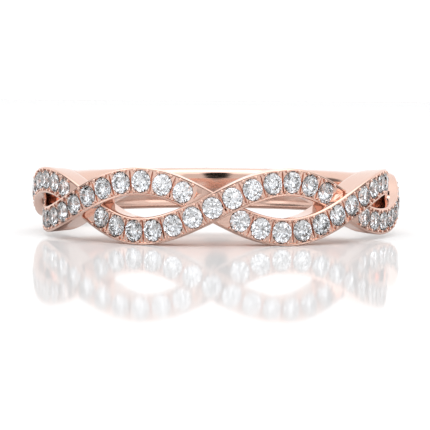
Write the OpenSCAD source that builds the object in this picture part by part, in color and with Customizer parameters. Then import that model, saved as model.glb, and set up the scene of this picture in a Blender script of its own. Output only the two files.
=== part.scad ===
// Infinity ring, lying on its side: the finger's axis is Z and the set front faces -Y.
// Two strands cross over and under each other round the front and run into a plain shank.
// Angles round the finger are in degrees from the middle of the front, positive towards +X.

/* [Finger] */
// Inside diameter of the ring
finger_d = 16.9; // [15:0.1:21]

/* [Shank] */
// Thickness of the plain shank from inside to outside
shank_t = 1.62; // [1.4:0.02:1.8]
// Height of the plain shank along the finger
shank_h = 2.44; // [2.2:0.02:2.8]
// Rounding of the shank's four long edges
shank_edge_r = 0.3; // [0.1:0.05:0.5]
// Angle at which the plain shank starts on either side
shank_start = 97; // [96:1:100]

/* [Strands] */
// Thickness of a strand from the finger to its face, midway between over and under
strand_t = 1.67; // [1.5:0.01:1.9]
// Width of a strand across its face
strand_w = 1.42; // [1.36:0.01:1.5]
// Height of the set front along the finger, from the lowest dip to the highest crest
front_h = 4; // [3.8:0.01:4.2]
// Height of the two side lobes, which are flatter than the front
side_h = 3.54; // [3.4:0.01:3.8]
// How far a strand rises over or dips under the other where they cross
weave = 0.25; // [0.15:0.01:0.35]
// The same where they cross last, at the sides
side_weave = 0.36; // [0.3:0.01:0.4]
// How much thinner the strands are there, midway between over and under
side_drop = 0.25; // [0.15:0.01:0.3]
// Angle from one crossing to the next
crossing_step = 45; // [42:0.5:48]
// Bevel along both edges of a strand's face
strand_bevel = 0.05; // [0.02:0.01:0.08]
// Width of the raised rail along both edges of a strand's face
rail_w = 0.065; // [0.05:0.005:0.07]
// Depth of a strand's floor below its rails
floor_drop = 0.07; // [0.04:0.01:0.1]
// How much narrower each side of a strand is at the finger than at its face
side_taper = 0.08; // [0:0.01:0.12]
// Angle past the last crossing at which a strand's end is inside the shank
strand_run_out = 22; // [18:1:26]
// Width of a strand where it has parted from the other and enters the shank
end_w = 1.1; // [0.9:0.02:1.16]

/* [Stones] */
// Diameter of a stone at its girdle
stone_d = 1.03; // [0.9:0.01:1.05]
// Distance between neighbouring stones along a strand
stone_pitch = 1.145; // [1.14:0.005:1.3]
// Width of a stone's table
table_w = 0.6; // [0.5:0.01:0.65]
// Height of a stone above its girdle
crown_h = 0.16; // [0.12:0.01:0.18]
// Thickness of a stone's girdle
girdle_t = 0.03; // [0.02:0.005:0.05]
// Depth of a stone below its girdle
pavilion_h = 0.44; // [0.4:0.01:0.5]
// Clearance between a stone and its seat
seat_gap = 0.02; // [0.015:0.005:0.025]
// Least plain length of a strand from the middle of a crossing to a stone
plain_min = 1.3; // [1.2:0.05:1.6]
// Plain length from the last dip of the first strand to its outer row of stones
outer_plain = 1.85; // [1.6:0.05:2]
// Stones in each outer row of the first strand
outer_stones = 7; // [5:1:7]
// How much further out than the right row the left row of the second strand sits
left_row_shift = 0.15; // [0:0.01:0.2]

/* [Setting] */
// Width of the groove cut between two stones
groove_w = 0.12; // [0.1:0.01:0.16]
// Depth of the groove below the rails
groove_depth = 0.3; // [0.2:0.01:0.4]
// How far from a strand's edge the groove runs out
groove_margin = 0.1; // [0.06:0.01:0.15]
// Radius of the beads that hold a stone
bead_r = 0.09; // [0.06:0.005:0.1]
// Height of a bead's top above the rails
bead_rise = 0.04; // [0:0.01:0.08]
// How far a bead is raised out of the rail beside it
bead_grip = 0.03; // [0.02:0.01:0.05]
// Clearance between a bead and the seat it stands beside
bead_gap = 0.01; // [0.01:0.005:0.03]

/* [Hidden] */
$fn = 48;

finger_r = finger_d / 2;
face_r = finger_r + strand_t;
// How far a strand swings above and below the middle plane, in the front and at the sides.
swing = (front_h - strand_w) / 2;
side_swing = (side_h - strand_w) / 2;
last_crossing = 2 * crossing_step;
strand_end = last_crossing + strand_run_out;
stone_r = stone_d / 2;
// The girdle's upper edge lies level with the strand's floor.
girdle_top = -floor_drop;

// A strand is known by its sign: the first rises towards +X at the middle of the front, the second falls.
FIRST = 1;
SECOND = -1;

// Past the last crossing the strands part and narrow, and lie just within the shank's height.
end_margin = 0.02;
side_z = (shank_h - end_w) / 2 - end_margin;
settle_angle = side_z * crossing_step / (2 * side_swing);
// A strand's face ends this far below the shank's.
end_sink = 0.5;
// Each piece of metal starts inside the bore, which then cuts it, and none starts level with another.
shank_overlap = 0.15;
function strand_overlap(s) = 0.4 + 0.1 * s;
function end_angle(s) = strand_end + s;
// Sections in a strand from end to end, and the slope at the foot of its rails.
strand_sections = 60;
rail_slope = 0.02;

function clamp01(x) = max(0, min(1, x));
function eased(x) = let (c = clamp01(x)) c * c * (3 - 2 * c);
function settled(t) = clamp01((abs(t) - last_crossing) / settle_angle);

// The swing shrinks smoothly from the crest of a front lobe to the crest of a side lobe.
function swing_at(t) = swing + (side_swing - swing) * eased(abs(t) / crossing_step - 0.5);

// How far a strand has changed from its thickness and weave in front to those at the sides, from 0 to 1.
function aside(t) = eased(abs(t) / crossing_step - 1);
function weave_at(t) = weave + (side_weave - weave) * aside(t);

// Height of a strand's middle, and the radius of its face, at angle t.
function mid_z(s, t) = abs(t) <= last_crossing
  ? s * swing_at(t) * sin(180 * t / crossing_step)
  : s * sign(t) * side_z * sin(90 * settled(t));
function top_r(s, t) = face_r - side_drop * aside(t) * (1 - eased(settled(t)))
  + s * weave_at(t) * (abs(t) <= last_crossing ? cos(180 * t / crossing_step) : cos(90 * settled(t)))
  - end_sink * eased((abs(t) - shank_start) / (strand_end - shank_start));

function outward(t) = [sin(t), -cos(t), 0];
function path(s, t) = top_r(s, t) * outward(t) + [0, 0, mid_z(s, t)];

// A strand's own axes at angle t: along it, across its face, and out of its face.
probe = 0.05;
function unit(v) = v / norm(v);
function along(s, t) = unit(path(s, t + probe) - path(s, t - probe));
function across(s, t) = unit(cross(outward(t), along(s, t)));
function out(s, t) = cross(along(s, t), across(s, t));

// The angle reached by going a given length along a strand, and a row of such steps.
function speed(s, t) = norm(path(s, t + probe) - path(s, t - probe)) / (2 * probe);
function step(s, t, length) = t + length / speed(s, t + length / speed(s, t) / 2);
function row(s, t, length, count) =
  count <= 0 ? [] : [t, each row(s, step(s, t, length), length, count - 1)];
function arc(s, t0, t1, n = 24) =
  let (d = (t1 - t0) / n) d * sum([for (i = [0:n - 1]) speed(s, t0 + (i + 0.5) * d)]);
function sum(v, i = 0) = i == len(v) ? 0 : v[i] + sum(v, i + 1);
function reversed(v) = [for (i = [len(v) - 1:-1:0]) v[i]];
function mirrored(v) = [for (t = reversed(v)) -t];

// Rows of stones: each full row is centred where its strand passes over the other.
half_row = floor((arc(FIRST, 0, crossing_step) - plain_min) / stone_pitch);
middle_half = row(FIRST, step(FIRST, 0, stone_pitch), stone_pitch, half_row);
middle_row = concat(mirrored(middle_half), [0], middle_half);
outer_row = row(FIRST, step(FIRST, crossing_step, outer_plain), stone_pitch, outer_stones);
function side_row(shift) =
  let (middle = step(SECOND, crossing_step, shift), below = step(SECOND, middle, -stone_pitch))
  concat(reversed(row(SECOND, below, -stone_pitch, half_row)), row(SECOND, middle, stone_pitch, half_row + 1));
FIRST_ROWS = [mirrored(outer_row), middle_row, outer_row];
SECOND_ROWS = [mirrored(side_row(left_row_shift)), side_row(0)];

// Places a child that is drawn with X along the strand, Y across it and Z out of its face.
module on_strand(s, t) {
  a = along(s, t);
  b = across(s, t);
  c = out(s, t);
  p = path(s, t);
  multmatrix([[a.x, b.x, c.x, p.x], [a.y, b.y, c.y, p.y], [a.z, b.z, c.z, p.z]]) children();
}

// Depth of a strand's floor below its rails, which closes up where the strand enters the shank.
function floor_depth(t) = floor_drop * (1 - eased((abs(t) - shank_start) / (strand_end - shank_start)));

// A strand's section at angle t: rails along both edges of a floor, and sides that taper to the bore.
function section(s, t) =
  let (
    w = (strand_w + (end_w - strand_w) * eased(settled(t))) / 2,
    rail = w - strand_bevel - rail_w,
    foot = finger_r - strand_overlap(s) - top_r(s, t),
    right = [
      [w - side_taper, foot],
      [w, -strand_bevel],
      [w - strand_bevel, 0],
      [rail, 0],
      [rail - rail_slope, -rail_slope - floor_depth(t)],
    ],
    outline = concat(right, [for (p = reversed(right)) [-p[0], p[1]]])
  )
  [for (p = outline) path(s, t) + p[0] * across(s, t) + p[1] * out(s, t)];

// A closed solid through sections that all have the same number of points.
module sweep(sections) {
  n = len(sections[0]);
  last = (len(sections) - 1) * n;
  points = [for (ring = sections) each ring];
  walls = [
    for (i = [0:len(sections) - 2], j = [0:n - 1])
    let (k = (j + 1) % n, a = i * n, b = a + n)
    each [[a + j, b + k, a + k], [a + j, b + j, b + k]]
  ];
  caps = [[for (j = [0:n - 1]) j], [for (j = [n - 1:-1:0]) last + j]];
  polyhedron(points, concat(walls, caps));
}

module strand(s) {
  reach = end_angle(s);
  sweep([for (i = [0:strand_sections]) section(s, reach * (2 * i / strand_sections - 1))]);
}

// The plain shank, a bar with rounded edges bent round the finger.
module shank() {
  rotate_extrude(angle = 360 - 2 * shank_start, start = shank_start - 90)
    translate([finger_r - shank_overlap, 0]) shank_section();
}

module shank_section() {
  wide = shank_t + shank_overlap;
  r = shank_edge_r;
  translate([0, -shank_h / 2 + r]) square([wide, shank_h - 2 * r]);
  translate([0, -shank_h / 2]) square([wide - r, shank_h]);
  for (side = [-1, 1])
    translate([wide - r, side * (shank_h / 2 - r)]) circle(r);
}

// A seat drilled for one stone, clear of its girdle and pavilion.
module seat() {
  clear_r = stone_r + seat_gap;
  girdle_foot = girdle_top - girdle_t - seat_gap;
  rotate_extrude()
    polygon([
      [0, girdle_foot - pavilion_h - seat_gap],
      [clear_r, girdle_foot],
      [clear_r, crown_h],
      [0, crown_h],
    ]);
}

// Beads stand at the four corners of a stone's cell, just outside its seat.
bead_across = strand_w / 2 - strand_bevel - rail_w - bead_r + bead_grip;
bead_out = stone_r + seat_gap + bead_gap + bead_r;
bead_along = sqrt(max(0, bead_out * bead_out - bead_across * bead_across));
module beads() {
  for (x = [-1, 1], y = [-1, 1])
    translate([x * bead_along, y * bead_across, bead_rise - bead_r]) sphere(bead_r);
}

module each_stone(s, rows) {
  for (stones = rows, t = stones)
    on_strand(s, t) children();
}

module each_groove(s, rows) {
  for (stones = rows, i = [0:len(stones) - 2])
    on_strand(s, (stones[i] + stones[i + 1]) / 2) children();
}

// A groove between two stones, as a thin wheel cuts it: deep in the middle, running out at the rails.
module groove() {
  run_out = strand_w / 2 - groove_margin;
  wheel_r = (run_out * run_out + groove_depth * groove_depth) / (2 * groove_depth);
  translate([0, 0, wheel_r - groove_depth])
    rotate([0, 90, 0]) cylinder(h = groove_w, r = wheel_r, center = true);
}

// The twist is drawn about its middle plane and lifted so that its lowest dips rest at zero height.
module lying() {
  translate([0, 0, front_h / 2]) children();
}

// Both strands and the shank, joined, bored, drilled for the stones and grooved between them.
module cut_metal() {
  difference() {
    union() {
      strand(FIRST);
      strand(SECOND);
      shank();
    }
    cylinder(h = 2 * front_h, r = finger_r, center = true);
    each_stone(FIRST, FIRST_ROWS) seat();
    each_stone(SECOND, SECOND_ROWS) seat();
    each_groove(FIRST, FIRST_ROWS) groove();
    each_groove(SECOND, SECOND_ROWS) groove();
  }
}

module ring_body() {
  color("#d9a184") lying() {
    cut_metal();
    each_stone(FIRST, FIRST_ROWS) beads();
    each_stone(SECOND, SECOND_ROWS) beads();
  }
}

// A round brilliant: an eight-sided table, star, kite and girdle facets, and a pointed pavilion.
module brilliant() {
  girdle_n = 16;
  star_r = (table_w / 2 + stone_r) / 2;
  star_z = girdle_top + crown_h * 0.55;
  belly_r = stone_r * 0.35;
  belly_z = girdle_top - girdle_t - pavilion_h * 0.66;
  function ring(r, z, n, turn) = [for (i = [0:n - 1]) let (a = 360 * (i + turn) / n) [r * cos(a), r * sin(a), z]];
  table = ring(table_w / 2, girdle_top + crown_h, 8, 0);
  star = ring(star_r, star_z, 8, 0.5);
  upper = ring(stone_r, girdle_top, girdle_n, 0);
  lower = ring(stone_r, girdle_top - girdle_t, girdle_n, 0);
  belly = ring(belly_r, belly_z, 8, 0.5);
  culet = [[0, 0, girdle_top - girdle_t - pavilion_h]];
  points = concat(table, star, upper, lower, belly, culet);
  T = 0;
  S = 8;
  U = 16;
  L = U + girdle_n;
  P = L + girdle_n;
  C = P + 8;
  faces = concat(
    [[for (i = [7:-1:0]) T + i]],
    [for (i = [0:7]) let (j = (i + 1) % 8, g = 2 * i, m = g + 1, h = (g + 2) % girdle_n, q = (i + 7) % 8) each [
      [T + i, T + j, S + i],
      [T + i, S + i, U + g],
      [T + i, U + g, S + q],
      [S + i, U + m, U + g],
      [S + i, U + h, U + m],
      [L + g, L + m, P + i],
      [L + m, L + h, P + i],
      [L + g, P + i, C],
      [L + g, C, P + q],
    ]],
    [for (i = [0:girdle_n - 1]) let (j = (i + 1) % girdle_n) each [
      [U + i, U + j, L + j],
      [U + i, L + j, L + i],
    ]]
  );
  polyhedron(points, faces);
}

module stones_first_strand() {
  color("#eef2f7") lying() each_stone(FIRST, FIRST_ROWS) brilliant();
}

module stones_second_strand() {
  color("#eef2f7") lying() each_stone(SECOND, SECOND_ROWS) brilliant();
}

ring_body();
stones_first_strand();
stones_second_strand();
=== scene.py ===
"""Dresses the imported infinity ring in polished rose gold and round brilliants, on a glossy white table."""

import math

import bpy
from mathutils import Matrix, Vector


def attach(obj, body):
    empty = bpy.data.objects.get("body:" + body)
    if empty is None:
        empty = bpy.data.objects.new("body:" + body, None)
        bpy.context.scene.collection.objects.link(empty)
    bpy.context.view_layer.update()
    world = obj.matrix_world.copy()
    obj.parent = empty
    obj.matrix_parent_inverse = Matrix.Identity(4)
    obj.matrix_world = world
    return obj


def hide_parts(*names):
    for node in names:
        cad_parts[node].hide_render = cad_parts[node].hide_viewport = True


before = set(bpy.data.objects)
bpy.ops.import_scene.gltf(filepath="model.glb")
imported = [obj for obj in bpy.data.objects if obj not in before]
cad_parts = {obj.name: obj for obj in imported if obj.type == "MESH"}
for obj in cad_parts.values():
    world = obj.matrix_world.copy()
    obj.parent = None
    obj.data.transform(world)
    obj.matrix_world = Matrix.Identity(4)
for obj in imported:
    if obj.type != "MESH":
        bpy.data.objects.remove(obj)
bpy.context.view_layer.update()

bl_info = {
    "name": "Infinity Ring",
    "version": (1, 0, 0),
    "blender": (4, 5, 0),
    "location": "View3D > Sidebar > Ring",
    "description": "Makes an infinity ring with two stone-set strands over a plain shank",
    "category": "Object",
}

# Everything is modelled in millimetres and brought to metres when a piece is finished.
TO_MM = 1000
TO_METRES = 0.001
LENGTH = {"unit": "LENGTH", "precision": 6}


class RingSizes(bpy.types.PropertyGroup):
    """The ring's sizes, the solids' own but for the roundings at the finger"""

    finger_diameter: bpy.props.FloatProperty(
        name="Finger", description="Inside diameter of the ring", default=0.0169, **LENGTH
    )
    shank_thickness: bpy.props.FloatProperty(
        name="Shank thickness", description="Plain shank, inside to outside", default=0.00162, **LENGTH
    )
    shank_height: bpy.props.FloatProperty(
        name="Shank height", description="Plain shank along the finger", default=0.00244, **LENGTH
    )
    shank_edge: bpy.props.FloatProperty(
        name="Shank edge", description="Rounding of the shank's outer edges", default=0.0003, **LENGTH
    )
    shank_start: bpy.props.FloatProperty(
        name="Shank start", description="Angle where the plain shank starts",
        default=math.radians(97), subtype="ANGLE",
    )
    strand_thickness: bpy.props.FloatProperty(
        name="Strand thickness", description="Finger to a strand's face", default=0.00167, **LENGTH
    )
    strand_width: bpy.props.FloatProperty(
        name="Strand width", description="Width of a strand's face", default=0.00142, **LENGTH
    )
    front_height: bpy.props.FloatProperty(
        name="Front height", description="Lowest dip to highest crest", default=0.004, **LENGTH
    )
    side_height: bpy.props.FloatProperty(
        name="Side height", description="Height of the two side lobes", default=0.00354, **LENGTH
    )
    weave: bpy.props.FloatProperty(
        name="Weave", description="How far a strand rises over or dips under", default=0.00025, **LENGTH
    )
    side_weave: bpy.props.FloatProperty(
        name="Side weave", description="The same where the strands cross last", default=0.00036, **LENGTH
    )
    side_drop: bpy.props.FloatProperty(
        name="Side drop", description="How much thinner the strands are there", default=0.00025, **LENGTH
    )
    crossing_step: bpy.props.FloatProperty(
        name="Crossing step", description="Angle between crossings",
        default=math.radians(45), subtype="ANGLE",
    )
    run_out: bpy.props.FloatProperty(
        name="Run-out", description="Angle from the last crossing to a strand's end",
        default=math.radians(22), subtype="ANGLE",
    )
    end_width: bpy.props.FloatProperty(
        name="End width", description="Width of a strand where it enters the shank",
        default=0.0011, **LENGTH,
    )
    rail_width: bpy.props.FloatProperty(
        name="Rail width", description="Raised rail along a strand's face", default=0.000065, **LENGTH
    )
    floor_drop: bpy.props.FloatProperty(
        name="Floor drop", description="Strand's floor below its rails", default=0.00007, **LENGTH
    )
    side_taper: bpy.props.FloatProperty(
        name="Side taper", description="How much a strand's side leans in", default=0.00008, **LENGTH
    )
    shank_inner_edge: bpy.props.FloatProperty(
        name="Shank inner edge", description="Rounding of the shank's edges at the finger",
        default=0.0006, **LENGTH,
    )
    inner_edge: bpy.props.FloatProperty(
        name="Inner edge", description="Rounding of the strands' edges at the finger",
        default=0.00045, **LENGTH,
    )


class StoneSizes(bpy.types.PropertyGroup):
    """The sizes of the stones and of what holds them"""

    diameter: bpy.props.FloatProperty(
        name="Diameter", description="Diameter at the girdle", default=0.00103, **LENGTH
    )
    across: bpy.props.FloatProperty(
        name="Across", description="How much wider a stone is across its strand than along it",
        default=1.08, subtype="FACTOR", min=1, max=1.1,
    )
    pitch: bpy.props.FloatProperty(
        name="Pitch", description="Distance between neighbours", default=0.001145, **LENGTH
    )
    table: bpy.props.FloatProperty(
        name="Table", description="Width of the table", default=0.0006, **LENGTH
    )
    crown: bpy.props.FloatProperty(
        name="Crown", description="Height above the girdle", default=0.00016, **LENGTH
    )
    girdle: bpy.props.FloatProperty(
        name="Girdle", description="Thickness of the girdle", default=0.00003, **LENGTH
    )
    pavilion: bpy.props.FloatProperty(
        name="Pavilion", description="Depth below the girdle", default=0.00044, **LENGTH
    )
    seat_gap: bpy.props.FloatProperty(
        name="Seat gap", description="Clearance round a stone", default=0.00002, **LENGTH
    )
    plain_least: bpy.props.FloatProperty(
        name="Plain length", description="Least plain strand beside a crossing", default=0.0013, **LENGTH
    )
    outer_plain: bpy.props.FloatProperty(
        name="Outer plain length", description="Plain strand before an outer row", default=0.00185, **LENGTH
    )
    outer_count: bpy.props.IntProperty(name="Outer stones", description="Stones in an outer row", default=7)
    left_row_shift: bpy.props.FloatProperty(
        name="Left row shift", description="How much further out the left row sits",
        default=0.00015, **LENGTH,
    )
    groove_width: bpy.props.FloatProperty(
        name="Groove width", description="Groove between two stones", default=0.00012, **LENGTH
    )
    groove_depth: bpy.props.FloatProperty(
        name="Groove depth", description="Depth of the groove below the rails", default=0.0002, **LENGTH
    )
    groove_margin: bpy.props.FloatProperty(
        name="Groove margin", description="Where a groove runs out, from the edge", default=0.0001, **LENGTH
    )
    bead_radius: bpy.props.FloatProperty(
        name="Bead radius", description="Beads that hold a stone", default=0.0001, **LENGTH
    )
    bead_rise: bpy.props.FloatProperty(
        name="Bead rise", description="Top of a bead above the rails", default=0.00006, **LENGTH
    )
    turn_seed: bpy.props.IntProperty(
        name="Turn seed", description="Seed for how each stone is turned", default=7
    )


class RingFinish(bpy.types.PropertyGroup):
    """The colours of the ring and its table"""

    gold: bpy.props.FloatVectorProperty(
        name="Rose gold", description="Colour of the polished gold",
        subtype="COLOR", default=(0.84, 0.585, 0.49), min=0, max=1,
    )
    gold_deep: bpy.props.FloatVectorProperty(
        name="Deep gold", description="Colour where the alloy is redder",
        subtype="COLOR", default=(0.79, 0.525, 0.43), min=0, max=1,
    )
    stone: bpy.props.FloatVectorProperty(
        name="Stone", description="Colour of the stones",
        subtype="COLOR", default=(0.97, 0.98, 1.0), min=0, max=1,
    )
    table_white: bpy.props.FloatVectorProperty(
        name="Table", description="Colour of the table",
        subtype="COLOR", default=(0.95, 0.95, 0.955), min=0, max=1,
    )


def sizes():
    return bpy.context.scene.ring_sizes


def stones():
    return bpy.context.scene.ring_stones


def finish():
    return bpy.context.scene.ring_finish


# The two strands' path

FIRST = 1
SECOND = -1
SHANK_END_SINK = 0.5
END_MARGIN = 0.02
PROBE = 0.05


def clamp01(x):
    return max(0.0, min(1.0, x))


def eased(x):
    c = clamp01(x)
    return c * c * (3 - 2 * c)


class Twist:
    """Both strands' path in millimetres, at angles in degrees from the middle of the front."""

    def __init__(self):
        s = sizes()
        self.finger_r = s.finger_diameter * TO_MM / 2
        self.face_r = self.finger_r + s.strand_thickness * TO_MM
        self.width = s.strand_width * TO_MM
        self.end_width = s.end_width * TO_MM
        self.swing = (s.front_height - s.strand_width) * TO_MM / 2
        self.side_swing = (s.side_height - s.strand_width) * TO_MM / 2
        self.weave = s.weave * TO_MM
        self.side_weave = s.side_weave * TO_MM
        self.side_drop = s.side_drop * TO_MM
        self.step_angle = math.degrees(s.crossing_step)
        self.last_crossing = 2 * self.step_angle
        self.end = self.last_crossing + math.degrees(s.run_out)
        self.shank_start = math.degrees(s.shank_start)
        self.side_z = (s.shank_height * TO_MM - self.end_width) / 2 - END_MARGIN
        self.settle_angle = self.side_z * self.step_angle / (2 * self.side_swing)
        self.lift = s.front_height * TO_MM / 2

    def settled(self, t):
        return clamp01((abs(t) - self.last_crossing) / self.settle_angle)

    def swing_at(self, t):
        """The swing shrinks smoothly from the crest of a front lobe to the crest of a side lobe."""
        return self.swing + (self.side_swing - self.swing) * eased(abs(t) / self.step_angle - 0.5)

    def face_radius(self, side, t, rise):
        """The face's distance from the finger's axis: the strands get thinner towards the sides."""
        aside = eased(abs(t) / self.step_angle - 1)
        drop = self.side_drop * aside * (1 - eased(self.settled(t)))
        weave = self.weave + (self.side_weave - self.weave) * aside
        sink = SHANK_END_SINK * eased((abs(t) - self.shank_start) / (self.end - self.shank_start))
        return self.face_r - drop + side * weave * rise - sink

    def point(self, side, t):
        """A point on the middle of a strand's face, measured from the twist's middle plane."""
        turn = math.radians(180 * t / self.step_angle)
        quarter = math.radians(90 * self.settled(t))
        if abs(t) <= self.last_crossing:
            z = side * self.swing_at(t) * math.sin(turn)
            rise = math.cos(turn)
        else:
            z = side * math.copysign(self.side_z, t) * math.sin(quarter)
            rise = math.cos(quarter)
        r = self.face_radius(side, t, rise)
        a = math.radians(t)
        return Vector((r * math.sin(a), -r * math.cos(a), z))

    def axes(self, side, t):
        """A strand's own directions: along it, across its face and out of its face."""
        a = math.radians(t)
        along = (self.point(side, t + PROBE) - self.point(side, t - PROBE)).normalized()
        across = Vector((math.sin(a), -math.cos(a), 0)).cross(along).normalized()
        return along, across, along.cross(across)

    def share(self, t):
        """A strand's width at angle t as a share of its full width."""
        return 1 + (self.end_width / self.width - 1) * eased(self.settled(t))

    def speed(self, side, t):
        return (self.point(side, t + PROBE) - self.point(side, t - PROBE)).length / (2 * PROBE)

    def step(self, side, t, length):
        middle = t + length / self.speed(side, t) / 2
        return t + length / self.speed(side, middle)

    def row(self, side, t, length, count):
        angles = []
        for _ in range(count):
            angles.append(t)
            t = self.step(side, t, length)
        return angles

    def arc(self, side, t0, t1, count=24):
        d = (t1 - t0) / count
        return d * sum(self.speed(side, t0 + (i + 0.5) * d) for i in range(count))

    def rows(self, side):
        """The angles of the stones of one strand, row by row."""
        s = stones()
        pitch = s.pitch * TO_MM
        half = int((self.arc(FIRST, 0, self.step_angle) - s.plain_least * TO_MM) / pitch)
        if side == FIRST:
            right = self.row(FIRST, self.step(FIRST, 0, pitch), pitch, half)
            middle = [-t for t in reversed(right)] + [0] + right
            start = self.step(FIRST, self.step_angle, s.outer_plain * TO_MM)
            outer = self.row(FIRST, start, pitch, s.outer_count)
            return [[-t for t in reversed(outer)], middle, outer]
        left = self.side_row(s.left_row_shift * TO_MM, pitch, half)
        return [[-t for t in reversed(left)], self.side_row(0, pitch, half)]

    def side_row(self, shift, pitch, half):
        middle = self.step(SECOND, self.step_angle, shift)
        down = self.row(SECOND, self.step(SECOND, middle, -pitch), -pitch, half)
        return list(reversed(down)) + self.row(SECOND, middle, pitch, half + 1)


# Helpers for meshes and node trees


def add_object(name, points, faces=(), edges=()):
    mesh = bpy.data.meshes.new(name)
    mesh.from_pydata([tuple(p) for p in points], list(edges), [tuple(f) for f in faces])
    mesh.update()
    piece = bpy.data.objects.new(name, mesh)
    bpy.context.scene.collection.objects.link(piece)
    return piece


def give_points(piece, name, values, kind="FLOAT_VECTOR"):
    """Stores one value for each point of a piece's mesh."""
    data = piece.data.attributes.new(name, kind, "POINT")
    for item, value in zip(data.data, values, strict=True):
        if kind == "FLOAT_VECTOR":
            item.vector = value
        else:
            item.value = value


def points_on(name, places, lift):
    """A cloud of points on the strands, each with its strand's directions, for a tree to put shapes on."""
    twist = Twist()
    here = []
    along = []
    out = []
    for side, t in places:
        a, _, o = twist.axes(side, t)
        here.append(twist.point(side, t) + Vector((0, 0, twist.lift)) + o * lift)
        along.append(a)
        out.append(o)
    piece = add_object(name, here)
    give_points(piece, "along", along)
    give_points(piece, "out", out)
    return piece


def revolved(name, profile, count):
    """A closed shape turned round Z from points (radius, height) listed from the bottom up."""
    points = []
    rings = []
    for r, z in profile:
        if r == 0:
            rings.append([len(points)])
            points.append((0, 0, z))
            continue
        rings.append(list(range(len(points), len(points) + count)))
        for i in range(count):
            a = 2 * math.pi * i / count
            points.append((r * math.cos(a), r * math.sin(a), z))
    faces = []
    for low, high in zip(rings, rings[1:]):
        for i in range(count):
            j = (i + 1) % count
            if len(low) == 1:
                faces.append((low[0], high[j], high[i]))
            elif len(high) == 1:
                faces.append((low[i], low[j], high[0]))
            else:
                faces.append((low[i], low[j], high[j], high[i]))
    return add_object(name, points, faces)


def new_tree(name, inputs):
    tree = bpy.data.node_groups.new(name, "GeometryNodeTree")
    tree.interface.new_socket("Geometry", in_out="INPUT", socket_type="NodeSocketGeometry")
    for label, kind, default in inputs:
        socket = tree.interface.new_socket(label, in_out="INPUT", socket_type=kind)
        if default is not None:
            socket.default_value = default
    tree.interface.new_socket("Geometry", in_out="OUTPUT", socket_type="NodeSocketGeometry")
    return tree


def add_node(tree, kind, inputs=None, **settings):
    """A node with its settings made and its inputs linked or filled, by name or number."""
    node = tree.nodes.new(kind)
    for key, value in settings.items():
        setattr(node, key, value)
    for key, value in (inputs or {}).items():
        if isinstance(value, bpy.types.NodeSocket):
            tree.links.new(value, node.inputs[key])
        else:
            node.inputs[key].default_value = value
    return node


def end_tree(tree, geometry, material):
    """Every tree ends in real geometry with its material."""
    real = add_node(tree, "GeometryNodeRealizeInstances", {"Geometry": geometry})
    painted = add_node(tree, "GeometryNodeSetMaterial", {"Geometry": real.outputs[0], "Material": material})
    add_node(tree, "NodeGroupOutput", {"Geometry": painted.outputs[0]})


def named_value(tree, name, kind="FLOAT_VECTOR"):
    node = add_node(tree, "GeometryNodeInputNamedAttribute", {"Name": name}, data_type=kind)
    return node.outputs["Attribute"]


def sweep_tree():
    """Sweeps a section along a line of points, turned to face out and scaled by the line's own share,
    and draws the points that have a pull to their gap from the finger."""
    tree = new_tree(
        "sweep_section",
        [
            ("Section", "NodeSocketObject", None),
            ("Finger Radius", "NodeSocketFloat", 8.45),
            ("Material", "NodeSocketMaterial", None),
        ],
    )
    start = add_node(tree, "NodeGroupInput")
    line = add_node(tree, "GeometryNodeMeshToCurve", {"Mesh": start.outputs["Geometry"]})
    faced = add_node(
        tree,
        "GeometryNodeSetCurveNormal",
        {"Curve": line.outputs[0], "Normal": named_value(tree, "out")},
        mode="FREE",
    )
    share = named_value(tree, "share", "FLOAT")
    scaled = add_node(tree, "GeometryNodeSetCurveRadius", {"Curve": faced.outputs[0], "Radius": share})
    shape = add_node(tree, "GeometryNodeObjectInfo", {"Object": start.outputs["Section"]})
    loop = add_node(tree, "GeometryNodeMeshToCurve", {"Mesh": shape.outputs["Geometry"]})
    swept = add_node(
        tree,
        "GeometryNodeCurveToMesh",
        {"Curve": scaled.outputs[0], "Profile Curve": loop.outputs[0], "Fill Caps": True},
    )
    spot = add_node(tree, "GeometryNodeInputPosition").outputs[0]
    level = add_node(tree, "ShaderNodeVectorMath", {0: spot, 1: (1.0, 1.0, 0.0)}, operation="MULTIPLY")
    height = add_node(tree, "ShaderNodeVectorMath", {0: spot, 1: (0.0, 0.0, 1.0)}, operation="MULTIPLY")
    away = add_node(tree, "ShaderNodeVectorMath", {0: level.outputs[0]}, operation="NORMALIZE")
    gap = named_value(tree, "gap", "FLOAT")
    reach = add_node(tree, "ShaderNodeMath", {0: start.outputs["Finger Radius"], 1: gap}, operation="ADD")
    at_finger = add_node(tree, "ShaderNodeVectorMath", {0: away.outputs[0]}, operation="SCALE")
    tree.links.new(reach.outputs[0], at_finger.inputs["Scale"])
    both = {0: at_finger.outputs[0], 1: height.outputs[0]}
    drawn = add_node(tree, "ShaderNodeVectorMath", both, operation="ADD")
    pull = named_value(tree, "pull", "FLOAT")
    moved = add_node(
        tree,
        "GeometryNodeSetPosition",
        {"Geometry": swept.outputs[0], "Selection": pull, "Position": drawn.outputs[0]},
    )
    end_tree(tree, moved.outputs[0], start.outputs["Material"])
    return tree


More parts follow.
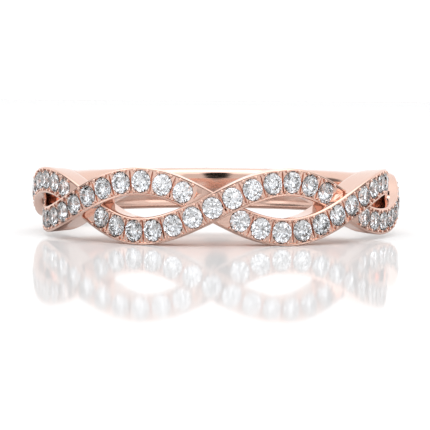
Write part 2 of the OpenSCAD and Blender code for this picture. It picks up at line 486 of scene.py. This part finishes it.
def setting_tree():
    """Puts a shape on every point, standing on the strand's face and turned about its own axis by a seeded
    angle, then stretched across the strand."""
    tree = new_tree(
        "set_on_strand",
        [
            ("Shape", "NodeSocketObject", None),
            ("Turn", "NodeSocketFloat", 0.0),
            ("Seed", "NodeSocketInt", 0),
            ("Across", "NodeSocketFloat", 1.0),
            ("Material", "NodeSocketMaterial", None),
        ],
    )
    start = add_node(tree, "NodeGroupInput")
    facing = add_node(
        tree,
        "FunctionNodeAxesToRotation",
        {"Primary Axis": named_value(tree, "out"), "Secondary Axis": named_value(tree, "along")},
        primary_axis="Z",
        secondary_axis="X",
    )
    angle = add_node(
        tree,
        "FunctionNodeRandomValue",
        {"Seed": start.outputs["Seed"]},
        data_type="FLOAT",
    )
    tree.links.new(start.outputs["Turn"], angle.inputs[3])
    turn = add_node(tree, "ShaderNodeCombineXYZ", {"Z": angle.outputs[1]})
    own_turn = add_node(tree, "FunctionNodeEulerToRotation", {"Euler": turn.outputs[0]})
    stretch = add_node(tree, "ShaderNodeCombineXYZ", {"X": 1.0, "Y": start.outputs["Across"], "Z": 1.0})
    spot = add_node(tree, "GeometryNodeInputPosition").outputs[0]
    on_face = add_node(
        tree,
        "FunctionNodeCombineTransform",
        {"Translation": spot, "Rotation": facing.outputs[0], "Scale": stretch.outputs[0]},
    )
    turned = add_node(tree, "FunctionNodeCombineTransform", {"Rotation": own_turn.outputs[0]})
    whole = add_node(tree, "FunctionNodeMatrixMultiply", {0: on_face.outputs[0], 1: turned.outputs[0]})
    wanted = {"Object": start.outputs["Shape"], "As Instance": True}
    shape = add_node(tree, "GeometryNodeObjectInfo", wanted)
    kept = add_node(
        tree,
        "GeometryNodeStoreNamedAttribute",
        {"Geometry": start.outputs["Geometry"], "Name": "place", "Value": whole.outputs[0]},
        data_type="FLOAT4X4",
        domain="POINT",
    )
    placed = add_node(
        tree,
        "GeometryNodeInstanceOnPoints",
        {"Points": kept.outputs[0], "Instance": shape.outputs["Geometry"]},
    )
    moved = add_node(
        tree,
        "GeometryNodeSetInstanceTransform",
        {"Instances": placed.outputs[0], "Transform": named_value(tree, "place", "FLOAT4X4")},
    )
    end_tree(tree, moved.outputs[0], start.outputs["Material"])
    return tree


def apply_tree(piece, tree, values):
    """Runs a tree on a piece and returns the result as a plain mesh, still in millimetres."""
    modifier = piece.modifiers.new(tree.name, "NODES")
    modifier.node_group = tree
    for item in tree.interface.items_tree:
        if item.item_type == "SOCKET" and item.in_out == "INPUT" and item.name in values:
            modifier[item.identifier] = values[item.name]
    result = evaluated_mesh(piece)
    piece.modifiers.remove(modifier)
    return result


def evaluated_mesh(piece):
    bpy.context.view_layer.update()
    graph = bpy.context.evaluated_depsgraph_get()
    return bpy.data.meshes.new_from_object(piece.evaluated_get(graph))


def signed_volume(mesh):
    mesh.calc_loop_triangles()
    total = 0.0
    for tri in mesh.loop_triangles:
        a, b, c = (mesh.vertices[i].co for i in tri.vertices)
        total += a.dot(b.cross(c))
    return total / 6


def outward_faces(mesh):
    """Turns a closed mesh the right way round."""
    if signed_volume(mesh) < 0:
        mesh.flip_normals()
    return mesh


def drop(*pieces):
    for piece in pieces:
        mesh = piece.data
        bpy.data.objects.remove(piece)
        if mesh.users == 0:
            bpy.data.meshes.remove(mesh)


def put_piece(name, mesh, sharp_degrees=None):
    """Brings a mesh to metres and stands it in the scene as a finished piece."""
    mesh.transform(Matrix.Scale(TO_METRES, 4))
    if sharp_degrees is None:
        mesh.shade_flat()
    else:
        mesh.shade_smooth()
        mesh.set_sharp_from_angle(angle=math.radians(sharp_degrees))
    mesh.name = name
    piece = bpy.data.objects.new(name, mesh)
    bpy.context.scene.collection.objects.link(piece)
    return piece


# Materials


def new_material(name):
    material = bpy.data.materials.new(name)
    material.use_nodes = True
    tree = material.node_tree
    tree.nodes.clear()
    shader = add_node(tree, "ShaderNodeBsdfPrincipled")
    add_node(tree, "ShaderNodeOutputMaterial", {"Surface": shader.outputs[0]})
    return material, tree, shader


def rose_gold():
    """Polished rose gold: slow colour drift, faint polishing waves and hairline scratches."""
    known = bpy.data.materials.get("ring_rose_gold")
    if known:
        return known
    material, tree, shader = new_material("ring_rose_gold")
    place = add_node(tree, "ShaderNodeTexCoord").outputs["Object"]
    drift = add_node(tree, "ShaderNodeTexNoise", {"Vector": place, "Scale": 260.0, "Detail": 3.0})
    tint = add_node(tree, "ShaderNodeMix", {0: drift.outputs["Fac"]}, data_type="RGBA")
    tint.inputs[6].default_value = (*finish().gold, 1)
    tint.inputs[7].default_value = (*finish().gold_deep, 1)
    tree.links.new(tint.outputs[2], shader.inputs["Base Color"])
    shader.inputs["Metallic"].default_value = 1.0
    scratched = add_node(tree, "ShaderNodeMapping", {"Vector": place, "Scale": (900.0, 900.0, 14000.0)})
    fine = {"Vector": scratched.outputs[0], "Scale": 1.0, "Detail": 4.0}
    hair = add_node(tree, "ShaderNodeTexNoise", fine)
    gloss = add_node(
        tree,
        "ShaderNodeMapRange",
        {"Value": hair.outputs["Fac"], "From Min": 0.3, "From Max": 0.7, "To Min": 0.08, "To Max": 0.17},
    )
    tree.links.new(gloss.outputs[0], shader.inputs["Roughness"])
    wave = add_node(tree, "ShaderNodeTexNoise", {"Vector": place, "Scale": 900.0, "Detail": 2.0})
    both = {0: wave.outputs["Fac"], 1: hair.outputs["Fac"]}
    mixed = add_node(tree, "ShaderNodeMath", both, operation="ADD")
    relief = {"Height": mixed.outputs[0], "Strength": 0.25, "Distance": 0.000004}
    bump = add_node(tree, "ShaderNodeBump", relief)
    tree.links.new(bump.outputs[0], shader.inputs["Normal"])
    return material


def white_stone():
    """Colourless brilliant: clear, strongly refracting, with a faint cool tint."""
    known = bpy.data.materials.get("ring_white_stone")
    if known:
        return known
    material, _, shader = new_material("ring_white_stone")
    shader.inputs["Base Color"].default_value = (*finish().stone, 1)
    shader.inputs["Roughness"].default_value = 0.0
    shader.inputs["IOR"].default_value = 2.417
    shader.inputs["Transmission Weight"].default_value = 1.0
    return material


# Metal


# The strand's section, in millimetres: the rounded edge of its face, the lean of its rails, where its
# straight side starts below the face, and a depth well inside the finger's bore
FACE_EDGE = 0.085
RAIL_SLOPE = 0.02
SIDE_FOOT = 0.8
INSIDE_BORE = 1.5
BORE_OVERLAP = 0.1


def strand_section():
    """A closed loop of (height below the face, width, pull, gap): a pull of one draws the point to that gap
    outside the finger, which rounds the strand's inner edges however deep the finger is."""
    s = sizes()
    half = s.strand_width * TO_MM / 2
    rail = s.rail_width * TO_MM
    drop_to_floor = s.floor_drop * TO_MM
    taper = s.side_taper * TO_MM
    edge = FACE_EDGE
    slope = RAIL_SLOPE
    soft = s.inner_edge * TO_MM
    foot = half - taper
    deep = -INSIDE_BORE
    right = [(deep, foot - soft, 1, -BORE_OVERLAP), (deep, foot - soft, 1, 0)]
    for i in range(1, 9):
        a = math.radians(90 * i / 8)
        right.append((deep, foot - soft + soft * math.sin(a), 1, soft * (1 - math.cos(a))))
    for share in (0.3, 0.65, 1):
        right.append((-SIDE_FOOT + (SIDE_FOOT - edge) * share, foot + taper * (0.4 + 0.6 * share), 0, 0))
    for i in range(1, 6):
        a = math.radians(18 * i)
        right.append((-edge + edge * math.sin(a), half - edge + edge * math.cos(a), 0, 0))
    inner = half - edge - rail / 2
    right.append((0, inner, 0, 0))
    right.append((-slope - drop_to_floor, inner - slope, 0, 0))
    right.append((-slope - drop_to_floor, inner / 2, 0, 0))
    left = [(h, -w, pull, gap) for h, w, pull, gap in reversed(right)]
    return right + [(-slope - drop_to_floor, 0, 0, 0)] + left


# The shank's inner wall lies this far outside the bore, clear of the cut, in millimetres
BORE_CLEAR = 0.004


def shank_section():
    """The shank's section, with rounded edges outside and softer ones at the finger."""
    s = sizes()
    inside = s.finger_diameter * TO_MM / 2 + BORE_CLEAR
    outside = inside - BORE_CLEAR + s.shank_thickness * TO_MM
    half = s.shank_height * TO_MM / 2
    loop = []
    corners = [
        (outside, half, s.shank_edge * TO_MM, 0),
        (inside, half, s.shank_inner_edge * TO_MM, 90),
        (inside, -half, s.shank_inner_edge * TO_MM, 180),
        (outside, -half, s.shank_edge * TO_MM, 270),
    ]
    for x, y, r, turn in corners:
        cx = x - r if x == outside else x + r
        cy = y - r if y > 0 else y + r
        for i in range(9):
            a = math.radians(turn + 90 * i / 8)
            loop.append((cx + r * math.cos(a), cy + r * math.sin(a)))
    return [(x, y, 0, 0) for x, y in loop]


def closed_loop(name, section):
    count = len(section)
    edges = [(i, (i + 1) % count) for i in range(count)]
    piece = add_object(name, [(x, y, 0) for x, y, _, _ in section], edges=edges)
    give_points(piece, "pull", [item[2] for item in section], "FLOAT")
    give_points(piece, "gap", [item[3] for item in section], "FLOAT")
    return piece


def swept(name, line, out, share, section, tree, material):
    """A bar swept along a line of points."""
    path = add_object(name, line, edges=[(i, i + 1) for i in range(len(line) - 1)])
    give_points(path, "out", out)
    give_points(path, "share", share, "FLOAT")
    values = {"Section": section, "Finger Radius": Twist().finger_r, "Material": material}
    mesh = outward_faces(apply_tree(path, tree, values))
    drop(path)
    return bpy.data.objects.new(name, mesh)


def strand_bar(side, section, tree, material):
    twist = Twist()
    count = 480
    end = twist.end + side
    angles = [end * (2 * i / count - 1) for i in range(count + 1)]
    lift = Vector((0, 0, twist.lift))
    line = [twist.point(side, t) + lift for t in angles]
    out = [twist.axes(side, t)[2] for t in angles]
    return swept("strand_bar", line, out, [twist.share(t) for t in angles], section, tree, material)


def shank_bar(section, tree, material):
    twist = Twist()
    count = 240
    start = twist.shank_start
    line = []
    out = []
    for i in range(count + 1):
        a = math.radians(start + (360 - 2 * start) * i / count)
        line.append(Vector((0.001 * math.sin(a), -0.001 * math.cos(a), twist.lift)))
        out.append(Vector((math.sin(a), -math.cos(a), 0)))
    return swept("shank_bar", line, out, [1.0] * (count + 1), section, tree, material)


def seat_shape():
    s = stones()
    gap = s.seat_gap * TO_MM
    clear = s.diameter * TO_MM / 2 + gap
    girdle_top = -sizes().floor_drop * TO_MM
    foot = girdle_top - s.girdle * TO_MM - gap
    return revolved(
        "seat_shape", [(0, foot - s.pavilion * TO_MM - gap), (clear, foot), (clear, 0.2), (0, 0.2)], 40
    )


# A groove's section: tapered share of its depth, width of its foot as a share, how squarely it runs out
GROOVE_TAPER = 0.6
GROOVE_FOOT = 0.2
GROOVE_RUN_OUT = 8
GROOVE_TOP = 0.3


def groove_shape():
    """A slot across the strand, narrower at its bottom, even in depth and running out at both edges."""
    s = stones()
    reach = sizes().strand_width * TO_MM / 2 - s.groove_margin * TO_MM
    depth = s.groove_depth * TO_MM
    r = s.groove_width * TO_MM / 2
    points = []
    faces = []
    count = 13
    for i in range(count):
        y = -math.cos(math.pi * i / (count - 1))
        bottom = -depth * (1 - abs(y) ** GROOVE_RUN_OUT)
        brim = bottom + depth * GROOVE_TAPER
        foot = r * GROOVE_FOOT
        rim = [(-r, GROOVE_TOP), (-r, brim), (-foot, bottom), (foot, bottom), (r, brim), (r, GROOVE_TOP)]
        points += [(x, y * reach, z) for x, z in rim]
    n = len(points) // count
    for i in range(count - 1):
        for j in range(n):
            k = (j + 1) % n
            faces.append((i * n + j, (i + 1) * n + j, (i + 1) * n + k, i * n + k))
    faces.append(tuple(range(n)))
    faces.append(tuple(range((count - 1) * n, count * n)[::-1]))
    shape = add_object("groove_shape", points, faces)
    outward_faces(shape.data)
    return shape


# A pocket's corners as (along, across) from the middle of the last stone, in millimetres
POCKET_CORNERS = ((0.6, -0.28), (1.12, 0.44), (0.6, 0.44))
POCKET_DEEPEST = (0.74, 0.2)
POCKET_TOP = 0.3
POCKET_BRIM = 0.065
POCKET_DEPTH = 0.18
POCKET_FACES = ((0, 1, 2), (3, 4, 1, 0), (4, 5, 2, 1), (5, 3, 0, 2), (4, 3, 6), (5, 4, 6), (3, 5, 6))


def pockets():
    """Three-sided pockets, as a graver leaves them, in the plain ends of the two upper rows in front."""
    twist = Twist()
    inner_row_end = twist.rows(SECOND)[0][-1]
    middle_row_end = twist.rows(FIRST)[1][-1]
    points = []
    faces = []
    for side, t in ((SECOND, inner_row_end), (FIRST, middle_row_end)):
        along, across, out = twist.axes(side, t)
        stone_spot = twist.point(side, t) + Vector((0, 0, twist.lift))
        base = len(points)
        for height in (POCKET_TOP, -POCKET_BRIM):
            points += [stone_spot + along * u + across * v + out * height for u, v in POCKET_CORNERS]
        u, v = POCKET_DEEPEST
        points.append(stone_spot + along * u + across * v - out * POCKET_DEPTH)
        faces += [[base + i for i in face] for face in POCKET_FACES]
    shape = add_object("pockets", points, faces)
    outward_faces(shape.data)
    return shape


BEAD_GAP = 0.01


def bead_shape():
    """Four beads at the corners of a stone's cell."""
    s = stones()
    r = s.bead_radius * TO_MM
    out = s.diameter * TO_MM / 2 + s.seat_gap * TO_MM + BEAD_GAP + r
    across = sizes().strand_width * TO_MM / 2 - sizes().rail_width * TO_MM - r
    along = math.sqrt(out * out - across * across)
    profile = [(0, -r)]
    for i in range(1, 5):
        a = math.radians(-90 + 36 * i)
        profile.append((r * math.cos(a), r * math.sin(a)))
    profile.append((0, r))
    one = revolved("bead", profile, 10)
    points = []
    faces = []
    for x in (-1, 1):
        for y in (-1, 1):
            base = len(points)
            shift = Vector((x * along, y * across, s.bead_rise * TO_MM - r))
            points += [v.co + shift for v in one.data.vertices]
            faces += [[base + i for i in f.vertices] for f in one.data.polygons]
    drop(one)
    return add_object("bead_shape", points, faces)


def stone_places():
    twist = Twist()
    return [(side, t) for side in (FIRST, SECOND) for row in twist.rows(side) for t in row]


def groove_places():
    twist = Twist()
    places = []
    for side in (FIRST, SECOND):
        for row in twist.rows(side):
            places += [(side, (a + b) / 2) for a, b in zip(row, row[1:])]
    return places


def cut(piece, tool, operation):
    modifier = piece.modifiers.new(tool.name, "BOOLEAN")
    modifier.operation = operation
    modifier.solver = "MANIFOLD"
    modifier.object = tool


class RING_OT_metal(bpy.types.Operator):
    """Makes the ring's metal: two strands and a shank, bored, drilled for the stones and grooved"""

    bl_idname = "ring.metal"
    bl_label = "Metal"

    def execute(self, context):
        gold = rose_gold()
        twist = Twist()
        sweep = sweep_tree()
        place = setting_tree()
        strand_loop = closed_loop("strand_loop", strand_section())
        shank_loop = closed_loop("shank_loop", shank_section())
        first = strand_bar(FIRST, strand_loop, sweep, gold)
        second = strand_bar(SECOND, strand_loop, sweep, gold)
        shank = shank_bar(shank_loop, sweep, gold)
        bore = revolved(
            "bore", [(0, -2), (twist.finger_r, -2), (twist.finger_r, 6), (0, 6)], 720
        )
        seat = seat_shape()
        slot = groove_shape()
        seat_points = points_on("seat_points", stone_places(), 0)
        groove_points = points_on("groove_points", groove_places(), 0)
        oval = {"Shape": seat, "Across": stones().across, "Material": gold}
        seats = bpy.data.objects.new("seats", apply_tree(seat_points, place, oval))
        plain_slot = {"Shape": slot, "Across": 1.0, "Material": gold}
        grooves = bpy.data.objects.new("grooves", apply_tree(groove_points, place, plain_slot))
        tools = [second, shank, bore, seats, grooves, pockets()]
        for tool in (first, second, shank, seats, grooves):
            context.scene.collection.objects.link(tool)
        for tool, operation in zip(tools, ("UNION", "UNION") + ("DIFFERENCE",) * 4):
            cut(first, tool, operation)
        mesh = evaluated_mesh(first)
        mesh.materials.clear()
        mesh.materials.append(gold)
        if len(mesh.polygons) < 1000 or signed_volume(mesh) < 100:
            raise RuntimeError("the metal did not join")
        drop(first, seat, slot, strand_loop, shank_loop, seat_points, groove_points, *tools)
        piece = put_piece("ring_metal", mesh, 32)
        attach(piece, "root")
        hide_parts("ring_body")
        return {"FINISHED"}


class RING_OT_beads(bpy.types.Operator):
    """Raises the small beads that hold each stone at four corners"""

    bl_idname = "ring.beads"
    bl_label = "Beads"

    def execute(self, context):
        gold = rose_gold()
        shape = bead_shape()
        cloud = points_on("bead_points", stone_places(), 0)
        mesh = apply_tree(cloud, setting_tree(), {"Shape": shape, "Across": 1.0, "Material": gold})
        drop(shape, cloud)
        piece = put_piece("stone_beads", mesh, 80)
        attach(piece, "root")
        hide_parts("ring_body")
        return {"FINISHED"}


# Stones


def brilliant():
    """A round brilliant with flat facets, its girdle's upper edge at zero height."""
    s = stones()
    r = s.diameter * TO_MM / 2
    table = s.table * TO_MM / 2
    crown = s.crown * TO_MM
    girdle = s.girdle * TO_MM
    pavilion = s.pavilion * TO_MM
    star = (table + r) / 2
    slant = math.cos(math.radians(22.5))
    star_z = crown * (1 - (star * slant - table) / (r - table))
    belly = r * 0.3
    belly_z = -girdle - pavilion * (1 - belly * slant / r)

    def ring(radius, z, count, turn):
        spots = []
        for i in range(count):
            a = 2 * math.pi * (i + turn) / count
            spots.append((radius * math.cos(a), radius * math.sin(a), z))
        return spots

    points = ring(table, crown, 8, 0) + ring(star, star_z, 8, 0.5)
    points += ring(r, 0, 16, 0) + ring(r, -girdle, 16, 0)
    points += ring(belly, belly_z, 8, 0.5) + [(0, 0, -girdle - pavilion)]
    star_at, top_at, low_at, belly_at, culet = 8, 16, 32, 48, 56
    faces = [list(range(8))]
    for i in range(8):
        j = (i + 1) % 8
        before = (i + 7) % 8
        g = 2 * i
        m = g + 1
        h = (g + 2) % 16
        faces.append([i, star_at + i, j])
        faces.append([i, star_at + before, top_at + g, star_at + i])
        faces.append([star_at + i, top_at + g, top_at + m])
        faces.append([star_at + i, top_at + m, top_at + h])
        faces.append([low_at + g, belly_at + i, low_at + m])
        faces.append([low_at + m, belly_at + i, low_at + h])
        faces.append([low_at + g, belly_at + before, culet, belly_at + i])
    for i in range(16):
        j = (i + 1) % 16
        faces.append([top_at + i, low_at + i, low_at + j, top_at + j])
    shape = add_object("brilliant", points, faces)
    outward_faces(shape.data)
    return shape


def set_stones(side, name, node):
    stone = white_stone()
    shape = brilliant()
    twist = Twist()
    places = [(side, t) for row in twist.rows(side) for t in row]
    cloud = points_on("stone_points", places, -sizes().floor_drop * TO_MM)
    values = {"Shape": shape, "Turn": math.radians(45), "Seed": stones().turn_seed + side}
    values.update({"Across": stones().across, "Material": stone})
    mesh = apply_tree(cloud, setting_tree(), values)
    drop(shape, cloud)
    piece = put_piece(name, mesh)
    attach(piece, "root")
    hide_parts(node)


class RING_OT_stones(bpy.types.Operator):
    """Sets a brilliant in every seat of both strands"""

    bl_idname = "ring.stones"
    bl_label = "Stones"

    def execute(self, context):
        set_stones(FIRST, "first_strand_brilliants", "stones_first_strand")
        set_stones(SECOND, "second_strand_brilliants", "stones_second_strand")
        return {"FINISHED"}


# Stage


# Half the table's width and the distances between which metal sees the table's painted shadow round the ring
# brighten, in metres, then that painted shadow's darkest and lightest levels
TABLE_HALF_WIDTH = 1.5
PAINTED_SHADOW_ENDS = (0.012, 0.035)
PAINTED_SHADOW_LEVELS = (0.45, 1.05)
TABLE_POLISH = 0.42
TABLE_BLUR = 0.06


def table_top():
    """A white table whose polish gives a faint mirror image. Metal sees a painted shadow on it, darker round
    the ring.
    """
    w = TABLE_HALF_WIDTH
    top = add_object("table_top", [(-w, -w, 0), (w, -w, 0), (w, w, 0), (-w, w, 0)], [(0, 1, 2, 3)])
    material = bpy.data.materials.new("table_gloss")
    material.use_nodes = True
    tree = material.node_tree
    tree.nodes.clear()
    place = add_node(tree, "ShaderNodeTexCoord").outputs["Object"]
    away = add_node(tree, "ShaderNodeVectorMath", {0: place}, operation="LENGTH")
    # Painted shadow: the table's white is darker nearer the ring
    shade = add_node(
        tree,
        "ShaderNodeMapRange",
        {
            "Value": away.outputs["Value"],
            "From Min": PAINTED_SHADOW_ENDS[0],
            "From Max": PAINTED_SHADOW_ENDS[1],
            "To Min": PAINTED_SHADOW_LEVELS[0],
            "To Max": PAINTED_SHADOW_LEVELS[1],
        },
        interpolation_type="SMOOTHSTEP",
    )
    # Only glossy rays, that is the metal's reflections, see the painted shadow; all other rays see plain
    # white
    by_metal = add_node(tree, "ShaderNodeLightPath").outputs["Is Glossy Ray"]
    share = add_node(tree, "ShaderNodeMix", {0: by_metal, 2: 1.0, 3: shade.outputs[0]}, data_type="FLOAT")
    white = tuple(finish().table_white)
    white_with_painted_shadow = add_node(tree, "ShaderNodeVectorMath", {0: white}, operation="SCALE")
    tree.links.new(share.outputs[0], white_with_painted_shadow.inputs["Scale"])
    matt = add_node(tree, "ShaderNodeBsdfDiffuse", {"Color": white_with_painted_shadow.outputs[0]})
    gloss = add_node(tree, "ShaderNodeBsdfAnisotropic", {"Color": (1, 1, 1, 1), "Roughness": TABLE_BLUR})
    mixed = add_node(tree, "ShaderNodeMixShader", {0: TABLE_POLISH, 1: matt.outputs[0], 2: gloss.outputs[0]})
    add_node(tree, "ShaderNodeOutputMaterial", {"Surface": mixed.outputs[0]})
    top.data.materials.append(material)


# Soft boxes: name, place, width and height in metres, and brightness
SOFT_LIGHTS = (
    ("over_light", (0, 0.03, 0.2), 0.16, 0.1, 1.2),
    ("left_light", (-0.16, -0.12, 0.1), 0.06, 0.1, 1.2),
    ("right_light", (0.16, -0.12, 0.1), 0.06, 0.1, 1.2),
)


def soft_light(name, place, width, height, brightness, aim=(0, 0, 0.002)):
    """A soft box whose face is so many times as bright as plain white."""
    light = bpy.data.lights.new(name, "AREA")
    light.shape = "RECTANGLE"
    light.size = width
    light.size_y = height
    light.energy = brightness * math.pi * width * height
    lamp = bpy.data.objects.new(name, light)
    lamp.location = place
    lamp.rotation_euler = (Vector(aim) - Vector(place)).to_track_quat("-Z", "Y").to_euler()
    bpy.context.scene.collection.objects.link(lamp)


def direction(azimuth, elevation):
    """A direction, with azimuth 0 towards the front and positive to the right, both in degrees."""
    a = math.radians(azimuth)
    e = math.radians(elevation)
    return (math.sin(a) * math.cos(e), -math.cos(a) * math.cos(e), math.sin(e))


# Cards round the ring: azimuth, elevation, half angle of the card and of its soft edge, brightness.
CARDS = (
    (180, 10, 60, 80, 1.1),
    (0, 90, 30, 45, 1.6),
    (-68, 28, 16, 24, 1.7),
    (60, 35, 18, 26, 1.7),
    (-100, 10, 12, 20, 0.2),
    (100, 10, 12, 20, 0.2),
    (0, 12, 8, 11, 0.01),
    (0, 24, 8, 11, 0.01),
    (0, 34, 8, 11, 0.01),
    (0, 44, 8, 11, 0.01),
    (0, 54, 8, 11, 0.01),
    (0, 64, 6, 9, 0.01),
    (-78, 52, 9, 13, 0.02),
)


# Brightness of the studio between the cards and of the backdrop
STUDIO_GREY = 0.82
BACKDROP = 1.15
# What the stones see: how small the patches are, their range, and how much brighter they are at the sides
PATCH_SCALE = 5.0
PATCH_BRIGHTNESS = (0.12, 1.85)
SIDE_GAIN = 1.4
FRONT_GAIN = 0.62
# What lights matt surfaces, from all round and from low in front
MATT_LIGHT = (0.49, 2.4)


def sky():
    """White for the eye. Polished metal sees a grey studio with light and dark cards, stones see a patchwork
    of light and shade, and matt surfaces are lit mostly from low in front."""
    world = bpy.data.worlds.new("studio")
    world.use_nodes = True
    tree = world.node_tree
    tree.nodes.clear()
    towards = add_node(tree, "ShaderNodeTexCoord").outputs["Generated"]
    level = None
    for azimuth, elevation, half, soft, brightness in CARDS:
        near = add_node(
            tree,
            "ShaderNodeVectorMath",
            {0: towards, 1: direction(azimuth, elevation)},
            operation="DOT_PRODUCT",
        )
        inside = add_node(
            tree,
            "ShaderNodeMapRange",
            {
                "Value": near.outputs["Value"],
                "From Min": math.cos(math.radians(soft)),
                "From Max": math.cos(math.radians(half)),
            },
            interpolation_type="SMOOTHSTEP",
        )
        before = STUDIO_GREY if level is None else level
        level = add_node(
            tree, "ShaderNodeMix", {0: inside.outputs[0], 2: before, 3: brightness}, data_type="FLOAT"
        ).outputs[0]
    path = add_node(tree, "ShaderNodeLightPath")
    patches = add_node(tree, "ShaderNodeTexVoronoi", {"Vector": towards, "Scale": PATCH_SCALE})
    patch = add_node(tree, "ShaderNodeSeparateColor", {"Color": patches.outputs["Color"]})
    span = {"Value": patch.outputs[0], "To Min": PATCH_BRIGHTNESS[0], "To Max": PATCH_BRIGHTNESS[1]}
    shine = add_node(tree, "ShaderNodeMapRange", span)
    sideways = {0: towards, 1: (1.0, 0.0, 0.0)}
    aside = add_node(tree, "ShaderNodeVectorMath", sideways, operation="DOT_PRODUCT")
    off = add_node(tree, "ShaderNodeMath", {0: aside.outputs["Value"]}, operation="ABSOLUTE")
    gain = {0: off.outputs[0], 1: SIDE_GAIN, 2: FRONT_GAIN}
    more = add_node(tree, "ShaderNodeMath", gain, operation="MULTIPLY_ADD")
    both = {0: shine.outputs[0], 1: more.outputs[0]}
    sparkle = add_node(tree, "ShaderNodeMath", both, operation="MULTIPLY")
    front = add_node(
        tree, "ShaderNodeVectorMath", {0: towards, 1: direction(0, 28)}, operation="DOT_PRODUCT"
    )
    lit = add_node(
        tree,
        "ShaderNodeMapRange",
        {
            "Value": front.outputs["Value"],
            "From Min": 0.64,
            "From Max": 0.87,
            "To Min": MATT_LIGHT[0],
            "To Max": MATT_LIGHT[1],
        },
        interpolation_type="SMOOTHSTEP",
    )
    seen = level
    for ray, brightness in (
        ("Is Transmission Ray", sparkle.outputs[0]),
        ("Is Diffuse Ray", lit.outputs[0]),
        ("Is Camera Ray", BACKDROP),
    ):
        seen = add_node(
            tree, "ShaderNodeMix", {0: path.outputs[ray], 2: seen, 3: brightness}, data_type="FLOAT"
        ).outputs[0]
    tint = add_node(tree, "ShaderNodeMix", {0: path.outputs["Is Transmission Ray"]}, data_type="RGBA")
    tint.inputs[6].default_value = (1, 1, 1, 1)
    tint.inputs[7].default_value = (0.94, 0.965, 1, 1)
    studio = add_node(tree, "ShaderNodeBackground", {"Color": tint.outputs[2], "Strength": seen})
    add_node(tree, "ShaderNodeOutputWorld", {"Surface": studio.outputs[0]})
    bpy.context.scene.world = world


# The photograph's camera: angles in degrees, distance in metres, the rest in the photo's pixels
CAMERA_AZIMUTH = 0.948
CAMERA_ELEVATION = 3.281
CAMERA_ROLL = 0.383
CAMERA_DISTANCE = 0.1036
CAMERA_FOCAL = 1835
CAMERA_RIGHT = 0.89
CAMERA_DOWN = 18.51
PHOTO_WIDTH = 430


def camera():
    """The photograph's view: low, almost straight at the front, with a long lens."""
    aim = Vector((0, 0, 0.002))
    towards = Vector(direction(CAMERA_AZIMUTH, CAMERA_ELEVATION))
    data = bpy.data.cameras.new("photo_camera")
    data.sensor_width = 36
    data.lens = data.sensor_width * CAMERA_FOCAL / PHOTO_WIDTH
    data.shift_x = -CAMERA_RIGHT / PHOTO_WIDTH
    data.shift_y = -CAMERA_DOWN / PHOTO_WIDTH
    data.clip_start = 0.005
    data.clip_end = 10
    view = bpy.data.objects.new("photo_camera", data)
    view.location = aim + towards * CAMERA_DISTANCE
    turn = (-towards).to_track_quat("-Z", "Y")
    view.rotation_euler = (turn.to_matrix() @ Matrix.Rotation(math.radians(CAMERA_ROLL), 3, "Z")).to_euler()
    bpy.context.scene.collection.objects.link(view)
    bpy.context.scene.camera = view


class RING_OT_stage(bpy.types.Operator):
    """Lays the white table, hangs the soft lights and sets the camera"""

    bl_idname = "ring.stage"
    bl_label = "Stage"

    def execute(self, context):
        context.scene.view_settings.view_transform = "Standard"
        table_top()
        sky()
        for light in SOFT_LIGHTS:
            soft_light(*light)
        camera()
        return {"FINISHED"}


class RING_PT_panel(bpy.types.Panel):
    """The ring's sizes and the steps that make it"""

    bl_idname = "RING_PT_panel"
    bl_label = "Infinity ring"
    bl_space_type = "VIEW_3D"
    bl_region_type = "UI"
    bl_category = "Ring"

    def draw(self, context):
        for group in (context.scene.ring_sizes, context.scene.ring_stones, context.scene.ring_finish):
            box = self.layout.box()
            for key in group.__annotations__:
                box.prop(group, key)
        for step in STEPS:
            self.layout.operator(step.bl_idname)


STEPS = (RING_OT_stage, RING_OT_metal, RING_OT_beads, RING_OT_stones)
CLASSES = (RingSizes, StoneSizes, RingFinish, *STEPS, RING_PT_panel)


def register():
    for each in CLASSES:
        bpy.utils.register_class(each)
    bpy.types.Scene.ring_sizes = bpy.props.PointerProperty(type=RingSizes)
    bpy.types.Scene.ring_stones = bpy.props.PointerProperty(type=StoneSizes)
    bpy.types.Scene.ring_finish = bpy.props.PointerProperty(type=RingFinish)


def unregister():
    del bpy.types.Scene.ring_finish
    del bpy.types.Scene.ring_stones
    del bpy.types.Scene.ring_sizes
    for each in reversed(CLASSES):
        bpy.utils.unregister_class(each)


def main():
    register()
    bpy.ops.ring.stage()
    bpy.ops.ring.metal()
    bpy.ops.ring.beads()
    bpy.ops.ring.stones()


if __name__ == "__main__":
    main()
